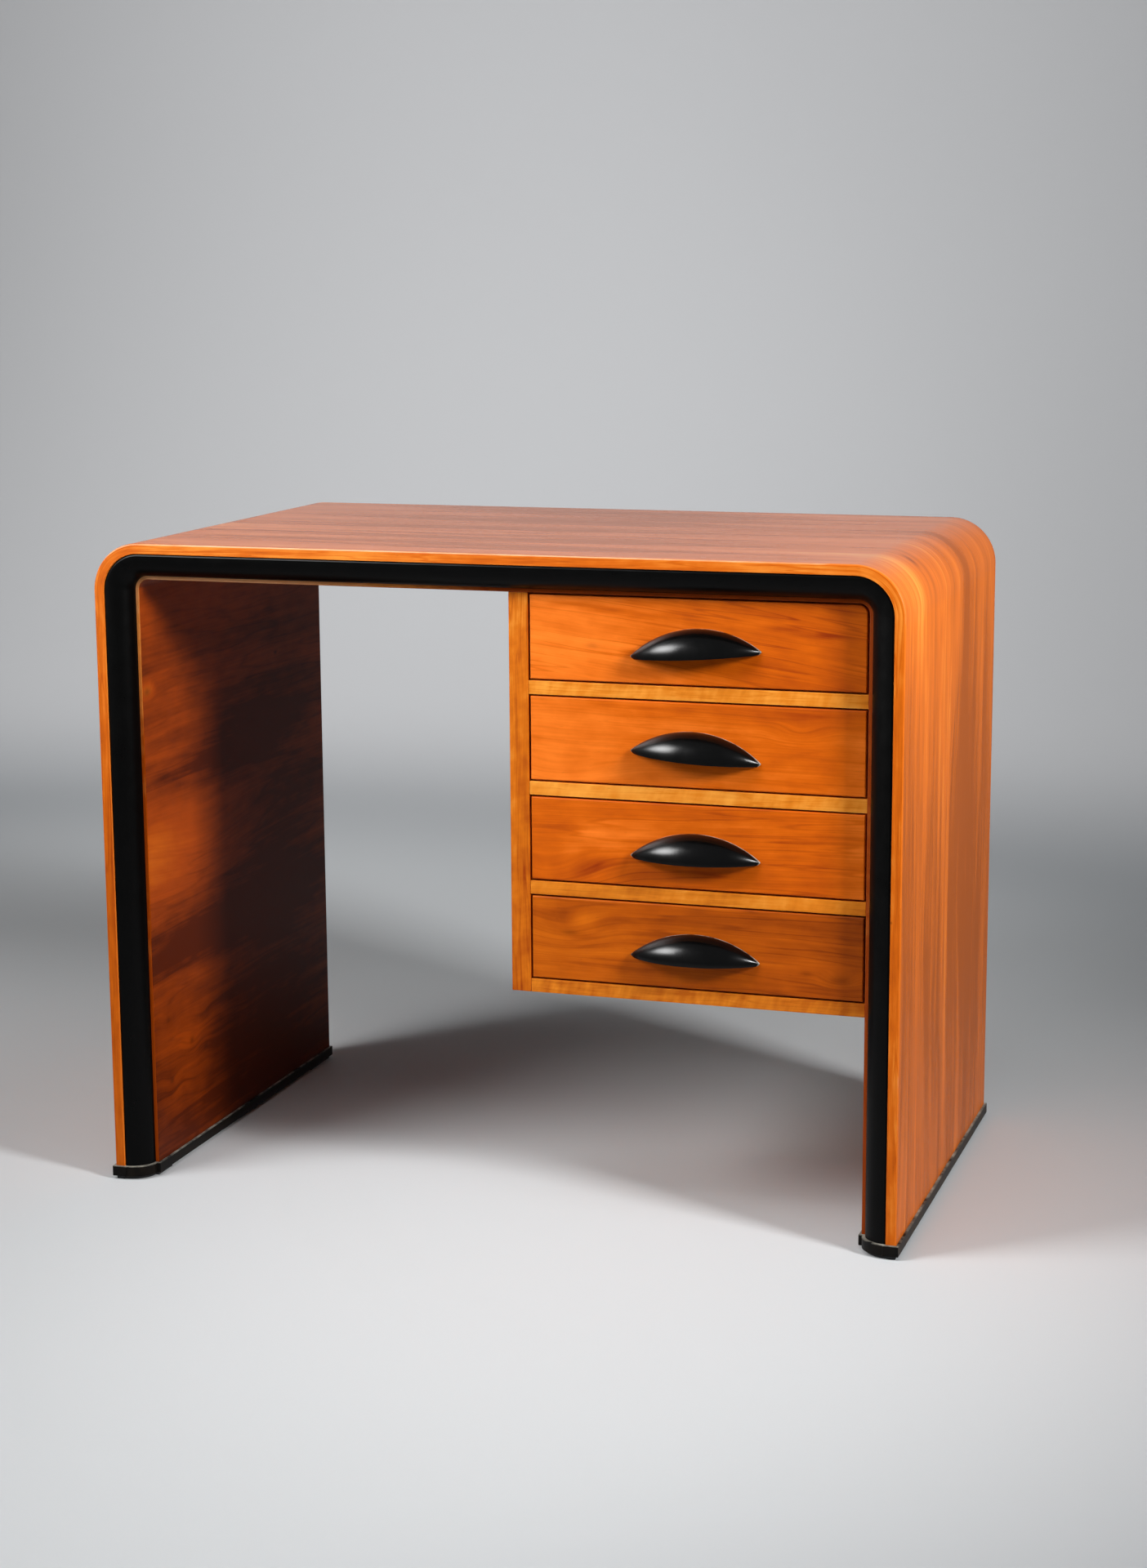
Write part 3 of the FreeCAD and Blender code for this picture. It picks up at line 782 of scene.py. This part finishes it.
class DESK_OT_plinths(bpy.types.Operator):
    """Set the black plinths under the legs, with worn edges and a dusty ledge"""

    bl_idname = "desk.plinths"
    bl_label = "Plinths and pads"

    def execute(self, context):
        sizes, tones = settings_of(context.scene)
        # The same black, kicked and dusted: dull, grey along its edges and ledges, brown on its outer sides.
        worn_faces = (
            ("satin lacquer", tones.worn, 0.02), ("rubbed edge", tones.dust, 0.55),
            ("dusty ledge", tones.dust, 1.0), ("scuffed side", tones.worn, 0.10),
        )
        finishes = [
            black_lacquer("ebonised plinth, " + face, tones.black, under, RUBBED_BLACK, wear)
            for face, under, wear in worn_faces
        ]
        outer_x = plinth_low.x
        inner_x = plinth_high.x
        lining_y = lining_low.y - plinth_overhang
        heel = Vector((bead_low.x + plinth_overhang, lining_y, plinth_low.z))
        for side, node in ((1, "left_plinth"), (-1, "right_plinth")):
            bm = bmesh.new()
            arc = quarter_round(bm, heel, bead_high.y - bead_low.y, bead_high.x - bead_low.x)
            before = [(outer_x, plinth_high.y), (outer_x, plinth_low.y), (heel.x, plinth_low.y)]
            after = [(inner_x, lining_y), (inner_x, plinth_high.y)]
            before = [bm.verts.new((x, y, plinth_low.z)) for x, y in before]
            after = [bm.verts.new((x, y, plinth_low.z)) for x, y in after]
            sole = bm.faces.new(before + arc + after)
            ledge = only_face(bmesh.ops.extrude_face_region(bm, geom=[sole])["geom"])
            bmesh.ops.translate(bm, vec=(0, 0, plinth_high.z - plinth_low.z), verts=ledge.verts)
            eased = set(ease_edges(bm, sizes.plinth_arris))
            bmesh.ops.scale(bm, vec=(side, 1, 1), verts=bm.verts)
            bmesh.ops.recalc_face_normals(bm, faces=bm.faces)
            for face in bm.faces:
                if face.normal.z > LEDGE_FACING:
                    face.material_index = 2
                elif face in eased and face.normal.z > ARRIS_FACING:
                    face.material_index = 1
                elif face.normal.x * side < -SQUARE_ON:
                    face.material_index = 3
            add_piece(bm, node + "_block", [node], finishes)
        # Moulded rubber: matt and nearly black.
        finish_nodes(["glides"], speckled("glide rubber", tones.rubber, roughness=0.75, grit=0.0015))
        return {"FINISHED"}


# Steps through the wood from one board or drawer front to the next, so that no two are alike
BOARD_LEAF = 0.37
DRAWER_LEAF = 0.41


class DESK_OT_pedestal(bpy.types.Operator):
    """Build the pedestal's side panel, bottom board and rails with eased edges"""

    bl_idname = "desk.pedestal"
    bl_label = "Pedestal"

    def execute(self, context):
        sizes, tones = settings_of(context.scene)
        # Figured cherry, planed and lacquered: golden with soft cross bands. Each has its tone and curl.
        boards = {
            "rail_1": (0.05, 0.26), "rail_2": (0.08, 0.24), "rail_3": (-0.01, 0.22),
            "pedestal_bottom": (-0.09, 0.40),
        }
        for number, (node, (tone, curl)) in enumerate(boards.items()):
            board_wood = wood(
                "lacquered figured cherry, " + node, palette(tones, "pedestal"),
                Grain(run=0.20, band=0.02, line=0.004, weights=(0.3, 0.15, 0.1, 0.25), curl=curl, tone=tone),
                RUBBED_LACQUER,
            )
            bm = block(*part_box(node))
            ease_edges(bm, sizes.board_arris)
            grain = along_axis(0, number * BOARD_LEAF)
            add_piece(bm, node + "_board", [node], [board_wood], grain)
        # Knife-cut cherry veneer, oiled, as inside the shell: dark, with little gloss.
        side_veneer = wood(
            "lacquered cherry veneer, pedestal side", palette(tones, "lining"),
            Grain(run=0.30, band=0.05, line=0.008, drift=0.02), OILED,
        )
        # Solid cherry, planed and rubbed: golden brown and straight grained; its painted falloff makes it a
        # little lighter upwards, painted light where more light falls.
        stile_wood = wood(
            "lacquered cherry stile", (tones.drawer_dark, tones.stile, tones.pedestal_light),
            Grain(
                run=0.30, band=0.03, line=0.006, weights=(0.3, 0.15, 0.15, 0.3), curl=0.1, drift=0.02,
                tone=-0.01, fall=-0.12, middle=0.48,
            ),
            RUBBED_LACQUER,
        )
        low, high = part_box("pedestal_side")
        back_low, back_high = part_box("pedestal_back")
        bm = bmesh.new()
        outline = [
            (low.x, low.y), (high.x, low.y), (high.x, back_low.y),
            (back_low.x, back_low.y), (back_low.x, high.y), (low.x, high.y),
        ]
        foot = bm.faces.new([bm.verts.new((x, y, low.z)) for x, y in outline])
        head = only_face(bmesh.ops.extrude_face_region(bm, geom=[foot])["geom"])
        bmesh.ops.translate(bm, vec=(0, 0, high.z - low.z), verts=head.verts)
        ease_edges(bm, sizes.board_arris)
        add_piece(bm, "pedestal_side_panel", ["pedestal_side"], [side_veneer, stile_wood],
                  along_axis(2, 0.0), front_is_edge)
        return {"FINISHED"}


# The figure of each drawer front's leaf; its knots lie in metres across and up the desk. The painted
# falloff makes each front darker towards the right: painted shade for the light that comes from the left.
DRAWER_GRAIN = Grain(run=0.40, weights=(0.30, 0.10, 0.13, 0.18), fleck=0.15, middle=0.238)
DRAWER_FIGURES = {
    1: DRAWER_GRAIN._replace(
        band=0.028, slope=0.13, drift=0.015, ring=0.08, tone=0.02, fall=0.52,
        knots=(
            Knot(0.12, 0.664, 0.022, 0.012, dark=0.25), Knot(0.11, 0.67, 0.12, 0.05, lift=0.05),
            Knot(0.10, 0.709, 0.05, 0.006, lift=-0.10), Knot(0.14, 0.704, 0.05, 0.006, lift=-0.12),
            Knot(0.18, 0.699, 0.05, 0.006, lift=-0.08), Knot(0.34, 0.690, 0.05, 0.006, lift=-0.08),
            # The wide patch at the right end is painted light: it lightens the shade that the right leg casts
            # on the front.
            Knot(0.38, 0.684, 0.05, 0.006, lift=-0.10), Knot(0.428, 0.671, 0.05, 0.30, lift=0.06),
        ),
    ),
    2: DRAWER_GRAIN._replace(
        band=0.040, slope=0.02, ring=0.03, tone=0.02, fall=0.48,
        knots=(
            Knot(0.356, 0.575, 0.05, 0.018, 0.010), Knot(0.08, 0.520, 0.12, 0.03, 0.012),
            # The wide patch at the right end is painted light: it lightens the shade that the right leg casts
            # on the front.
            Knot(0.428, 0.557, 0.05, 0.30, lift=0.11),
        ),
    ),
    3: DRAWER_GRAIN._replace(
        # Its lower tone is partly painted shade, where the light falls off lower down the pedestal.
        band=0.034, slope=-0.02, ring=0.07, tone=-0.04, fall=0.10,
        knots=(
            Knot(0.068, 0.397, 0.12, 0.045, 0.024), Knot(0.13, 0.450, 0.10, 0.03, lift=0.12),
            Knot(0.08, 0.455, 0.04, 0.02, lift=-0.08), Knot(0.10, 0.415, 0.10, 0.02, lift=-0.05),
            # The wide patch at the right end is painted light: it lightens the shade that the right leg casts
            # on the front.
            Knot(0.428, 0.443, 0.05, 0.30, lift=0.10),
        ),
    ),
    4: DRAWER_GRAIN._replace(
        band=0.030, drift=0.015, ring=0.07, fleck=0.2, fall=0.32,
        knots=(
            Knot(0.087, 0.339, 0.075, 0.036, 0.014), Knot(0.092, 0.337, 0.03, 0.010, dark=0.35),
            Knot(0.11, 0.352, 0.03, 0.016, lift=0.10), Knot(0.403, 0.304, 0.035, 0.016, 0.010, 0.45),
            Knot(0.365, 0.309, 0.02, 0.008, dark=0.3),
        ),
    ),
}


# How far before the drawer's face the pale rim round a pull begins and how far it is thickest, in metres:
# partly dust, partly a painted highlight along the rim
PULL_DUST_AND_HIGHLIGHT = (0.0024, 0.0004)


class DESK_OT_drawers(bpy.types.Operator):
    """Veneer the drawer fronts, blacken the pulls and finish the drawer boxes"""

    bl_idname = "desk.drawers"
    bl_label = "Drawers"

    def execute(self, context):
        sizes, tones = settings_of(context.scene)
        face_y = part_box("drawer_1_front")[0].y
        rim = [face_y - distance for distance in PULL_DUST_AND_HIGHLIGHT]
        # Shaped wood, stained black and polished: clear highlights, and a pale rim where it meets the drawer,
        # partly dust and partly a painted highlight.
        pull = black_lacquer("ebonised pull, satin lacquer", tones.black, tones.dust, POLISHED_BLACK, rim=rim)
        # Planed beech, left bare: pale, short grained and without gloss.
        beech_tones = (tones.softwood, tones.beech, tones.birch_mid)
        short = Grain(run=0.12, band=0.03, line=0.004)
        side, back = (
            wood("planed beech, drawer " + part, beech_tones, short, BARE_PLANED, turn)
            for part, turn in (("sides", GRAIN_ALONG_Y), ("backs", GRAIN_ALONG_X))
        )
        for number in DRAWERS:
            node = f"drawer_{number}_"
            leaf = (0.0, 0.0, DRAWER_LEAF * number)
            leaf_tones = palette(tones, "brown" if number == DRAWERS[-1] else "drawer")
            # Knife-cut cherry veneer, rubbed: orange with fine streaks; the bottom drawer's leaf is browner,
            # and its darker tone is partly painted shade where the light falls off low on the pedestal.
            front = wood(f"lacquered cherry veneer, drawer {number}", leaf_tones, DRAWER_FIGURES[number],
                         RUBBED_LACQUER, GRAIN_ALONG_X, leaf)
            finish_nodes([node + "front"], front)
            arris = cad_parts[node + "front"].modifiers.new("Eased arris", "BEVEL")
            arris.width = sizes.front_arris
            arris.segments = 2
            arris.limit_method = "ANGLE"
            finish_nodes([node + "pull"], pull)
            finish_nodes([node + "left_side", node + "right_side"], side)
            finish_nodes([node + "back"], back)
        return {"FINISHED"}


class DESK_OT_carcass(bpy.types.Operator):
    """Finish what lies behind the show faces: plywood, carcass wood and screws"""

    bl_idname = "desk.carcass"
    bl_label = "Carcass and hardware"

    def execute(self, context):
        tones = context.scene.desk_finishes
        # Birch plywood, peeled and left bare: pale, with wide wandering bands.
        ply = wood("birch plywood", palette(tones, "birch"),
                   Grain(run=0.40, band=0.09, line=0.016, drift=0.10, contrast=1.5, ring=0.12), BARE_PLANED,
                   GRAIN_ALONG_X)
        # Planed softwood, left bare: long pale stripes without gloss.
        softwood = wood("planed softwood", (tones.beech, tones.softwood, tones.birch_mid),
                        Grain(run=0.5, band=0.02, line=0.005), BARE_PLANED, GRAIN_ALONG_Y)
        # Zinc-plated steel: a dull grey metal with fine grit.
        zinc = speckled("zinc plated steel", tones.zinc, roughness=0.34, grit=0.0012, metallic=1.0)
        numbered = [f"drawer_{number}_" for number in DRAWERS]
        finish_nodes(["pedestal_back"] + [name + "bottom" for name in numbered], ply)
        runners = [f"{hand}_runner_{rail}" for hand in ("left", "right") for rail in RAILS]
        cores = ["left_leg_core", "top_core", "right_leg_core", "corner_blocks"]
        finish_nodes(runners + cores + ["back_cleat", "drawer_stops", "dowels"], softwood)
        finish_nodes(["plinth_screws", "case_screws"] + [name + "pull_screws" for name in numbered], zinc)
        return {"FINISHED"}


class Softbox(NamedTuple):
    """A softbox: where it hangs, the point it is aimed at, its size and its beam angle in degrees.

    One that mirrors nothing shows in no gloss; one that lights nothing shows only there.
    """

    place: tuple
    aim: tuple
    size: tuple
    spread: float
    lights: bool = True
    mirrors: bool = True


# Each lamp's power is the stage setting that starts with the first word of its name.
SOFTBOXES = {
    "left softbox": Softbox((-1.2, -1.2, 1.55), (0.0, -0.25, 0.75), (0.95, 0.8), 75),
    "glint card": Softbox((-1.2, -1.2, 1.55), (0.0, -0.25, 0.75), (0.7, 0.75), 75, lights=False),
    "right softbox": Softbox((2.6, -1.16, 1.7), (0.3, -0.1, 1.0), (0.5, 0.6), 72),
    "top softbox": Softbox((-0.2, -1.0, 2.9), (0.0, 0.1, 0.4), (2.4, 1.2), 100, mirrors=False),
    "floor softbox": Softbox((0.45, -1.75, 2.5), (0.45, -1.50, 0.0), (2.8, 0.8), 55, mirrors=False),
    "side softbox": Softbox((-1.75, -0.7, 2.0), (-1.35, 0.25, 0.0), (1.0, 0.8), 42, mirrors=False),
    "wall softbox": Softbox((-1.2, 1.3, 2.3), (-1.3, 4.1, 0.7), (3.4, 0.6), 145),
}

# The paper's reach, the radius of its sweep, the place of its wall and the grain of its tooth, in metres
PAPER_REACH = 12.0
SWEEP_RADIUS = 1.6
WALL_Y = 4.1
TOOTH_SIZE = 0.003

# Painted shade darkens the paper outside a pale oval, where the light falls off behind the desk, and the
# paper runs into the surround outside a far one: their half sizes in metres, and the pale one's offset from
# the desk in shares of its own.
PALE_OVAL = (1.9, 2.0)
PALE_OFFSET = (0.42, 0.1, 0.0)
FAR_OVAL = (4.5, 4.0)

# Spans over which the paper changes: shares of an oval for the fades, places in metres for the rest
PALE_FADE = (0.65, 1.20)
WALL_BACK = (1.6, 3.0)
WALL_LEFT = (1.1, 0.4)
FAR_FADE = (0.45, 0.95)
FAR_FRONT = (1.6, 0.6)
FAR_RIGHT = (1.9, 3.1)
FAR_LEFT = (-3.4, -4.6)

# The camera: place in metres, yaw, pitch and roll in degrees, lens and sensor in millimetres
CAMERA_PLACE = (1.0632, -3.1874, 1.0961)
CAMERA_TURN = (18.193, 10.771, -0.365)
CAMERA_LENS = 64.88
CAMERA_SENSOR = 36.0


class DESK_OT_stage(bpy.types.Operator):
    """Set the paper sweep, the softboxes and the camera"""

    bl_idname = "desk.stage"
    bl_label = "Studio"

    def execute(self, context):
        stage = context.scene.desk_stage
        self.lay_paper(stage)
        for name, softbox in SOFTBOXES.items():
            self.hang_softbox(name, softbox, getattr(stage, name.split()[0] + "_power"))
        self.light_world(context.scene, stage)
        self.place_camera(context.scene)
        context.scene.view_settings.view_transform = "Standard"
        return {"FINISHED"}

    def lay_paper(self, stage):
        """A floor that curves up into a backdrop behind the desk."""
        sweep_y = WALL_Y - SWEEP_RADIUS
        bm = bmesh.new()
        front = bm.verts.new((-PAPER_REACH, -PAPER_REACH, 0.0))
        turn = bm.verts.new((-PAPER_REACH, sweep_y, 0.0))
        bm.edges.new((front, turn))
        centre = (-PAPER_REACH, sweep_y, SWEEP_RADIUS)
        spun = quarter_spin(bm, [turn], centre, (1, 0, 0), SWEEP_STEPS)
        end = next(item for item in spun if isinstance(item, bmesh.types.BMVert))
        bm.edges.new((end, bm.verts.new(end.co + Vector((0, 0, PAPER_REACH)))))
        made = bmesh.ops.extrude_edge_only(bm, edges=list(bm.edges))["geom"]
        verts = [item for item in made if isinstance(item, bmesh.types.BMVert)]
        bmesh.ops.translate(bm, vec=(2 * PAPER_REACH, 0, 0), verts=verts)
        bmesh.ops.recalc_face_normals(bm, faces=bm.faces)
        mesh = finished_mesh(bm, "paper_sweep", [self.graduated_paper(stage)])
        paper = add_object("paper_sweep", mesh)

    def graduated_paper(self, stage):
        """Matt uncoated paper: no gloss, pale round the desk, painted shade behind it where the light falls
        off, and paler up the wall.
        """
        material, tree, shader, put = start_material("matt studio paper")
        local = put("TexCoord").outputs["Object"]
        axes = put("SeparateXYZ", {"Vector": local})
        x = axes.outputs["X"]
        y = axes.outputs["Y"]
        away = []
        for (half_x, half_y), offset in ((PALE_OVAL, PALE_OFFSET), (FAR_OVAL, (0.0, 0.0, 0.0))):
            scale = (1 / half_x, 1 / half_y, 0.0)
            oval = put("Mapping", {"Vector": local, "Location": offset, "Scale": scale})
            away.append(put("VectorMath", {0: oval}, operation="LENGTH").outputs["Value"])
        changes = (
            (away[0], PALE_FADE), (y, WALL_BACK), (x, WALL_LEFT),
            (away[1], FAR_FADE), (y, FAR_FRONT), (x, FAR_RIGHT), (x, FAR_LEFT),
        )
        fade, back, left, far, front, right, outer = (
            put("MapRange", {"Value": value, "From Min": start, "From Max": end}, **SMOOTH)
            for value, (start, end) in changes
        )
        rise = put("Math", {0: back, 1: left}, operation="MULTIPLY")
        shade = put("Mix", {0: fade.outputs[0], 6: stage.paper, 7: stage.paper_painted_shade}, data_type="RGBA")
        shade = put("Mix", {0: rise.outputs[0], 6: shade.outputs[2], 7: stage.paper_wall}, data_type="RGBA")
        tooth = put("TexNoise", {"Vector": local, "Scale": 1 / TOOTH_SIZE, "Detail": 3.0})
        bump = put("Bump", {"Height": tooth, "Strength": 0.05, "Distance": 0.001})

        # Far from the desk the paper glows with the surround's colour for the eye and gloss only, a painted
        # glow that runs it into the surround in front and at both sides.
        open_side = put("Math", {0: front, 1: right}, operation="MAXIMUM")
        open_side = put("Math", {0: open_side, 1: outer}, operation="MAXIMUM")
        far = put("Math", {0: far, 1: open_side}, operation="MULTIPLY")
        glow = put("Math", {0: far, 1: self.seen_rays(tree)}, operation="MULTIPLY")
        fill(tree, shader, {
            "Base Color": shade.outputs[2],
            "Roughness": 0.9,
            "Normal": bump,
            "Specular IOR Level": 0.2,
            "Emission Color": stage.surround,
            "Emission Strength": glow,
        })
        return material

    def seen_rays(self, tree):
        """One for rays of the eye, of gloss and through glass; nought for rays that light the object."""
        path = add(tree, "LightPath").outputs
        seen = add(tree, "Math", {0: path["Is Camera Ray"], 1: path["Is Glossy Ray"]}, operation="MAXIMUM")
        return add(tree, "Math", {0: seen, 1: path["Is Transmission Ray"]}, operation="MAXIMUM")

    def hang_softbox(self, name, softbox, watts):
        lamp = bpy.data.lights.new(name, "AREA")
        lamp.shape = "RECTANGLE"
        lamp.size, lamp.size_y = softbox.size
        lamp.energy = watts
        lamp.spread = math.radians(softbox.spread)
        hung = add_object(name, lamp)
        hung.location = softbox.place
        direction = Vector(softbox.aim) - Vector(softbox.place)
        hung.rotation_euler = direction.to_track_quat("-Z", "Y").to_euler()
        hung.visible_camera = False
        hung.visible_diffuse = softbox.lights
        hung.visible_glossy = softbox.mirrors

    def light_world(self, scene, stage):
        world = bpy.data.worlds.new("studio")
        world.use_nodes = True
        tree = world.node_tree
        fill(tree, tree.nodes["Background"], {"Color": stage.paper, "Strength": stage.ambient})
        shown = add(tree, "Background", {"Color": stage.surround, "Strength": 1.0})
        either = add(tree, "MixShader", {0: self.seen_rays(tree), 1: tree.nodes["Background"], 2: shown})
        fill(tree, tree.nodes["World Output"], {"Surface": either})
        scene.world = world

    def place_camera(self, scene):
        camera = bpy.data.cameras.new("camera")
        camera.lens = CAMERA_LENS
        camera.sensor_width = CAMERA_SENSOR
        view = add_object("camera", camera)
        yaw, pitch, roll = (math.radians(angle) for angle in CAMERA_TURN)
        turn = Matrix.Rotation(yaw, 4, "Z") @ Matrix.Rotation(math.pi / 2 - pitch, 4, "X")
        turn = turn @ Matrix.Rotation(roll, 4, "Z")
        view.matrix_world = Matrix.Translation(CAMERA_PLACE) @ turn
        scene.camera = view


OPERATORS = (
    DESK_OT_shell, DESK_OT_lining, DESK_OT_beads, DESK_OT_plinths, DESK_OT_pedestal, DESK_OT_drawers,
    DESK_OT_carcass, DESK_OT_stage,
)


class DESK_PT_sidebar(bpy.types.Panel):
    """Lists the desk's pieces and settings"""

    bl_label = "Waterfall Desk"
    bl_idname = "DESK_PT_sidebar"
    bl_space_type = "VIEW_3D"
    bl_region_type = "UI"
    bl_category = "Desk"

    def draw(self, context):
        for operator in OPERATORS:
            self.layout.operator(operator.bl_idname)
        for group in SETTINGS:
            settings = getattr(context.scene, group)
            for name in settings.__annotations__:
                self.layout.prop(settings, name)


SETTINGS = {"desk_sizes": DeskSizes, "desk_finishes": DeskFinishes, "desk_stage": DeskStage}
CLASSES = tuple(SETTINGS.values()) + OPERATORS + (DESK_PT_sidebar,)


def register():
    for cls in CLASSES:
        bpy.utils.register_class(cls)
    for name, group in SETTINGS.items():
        setattr(bpy.types.Scene, name, PointerProperty(type=group))


def unregister():
    for name in SETTINGS:
        delattr(bpy.types.Scene, name)
    for cls in reversed(CLASSES):
        bpy.utils.unregister_class(cls)


def main():
    register()
    for operator in OPERATORS:
        getattr(bpy.ops.desk, operator.bl_idname.split(".")[1])()


if __name__ == "__main__":
    main()
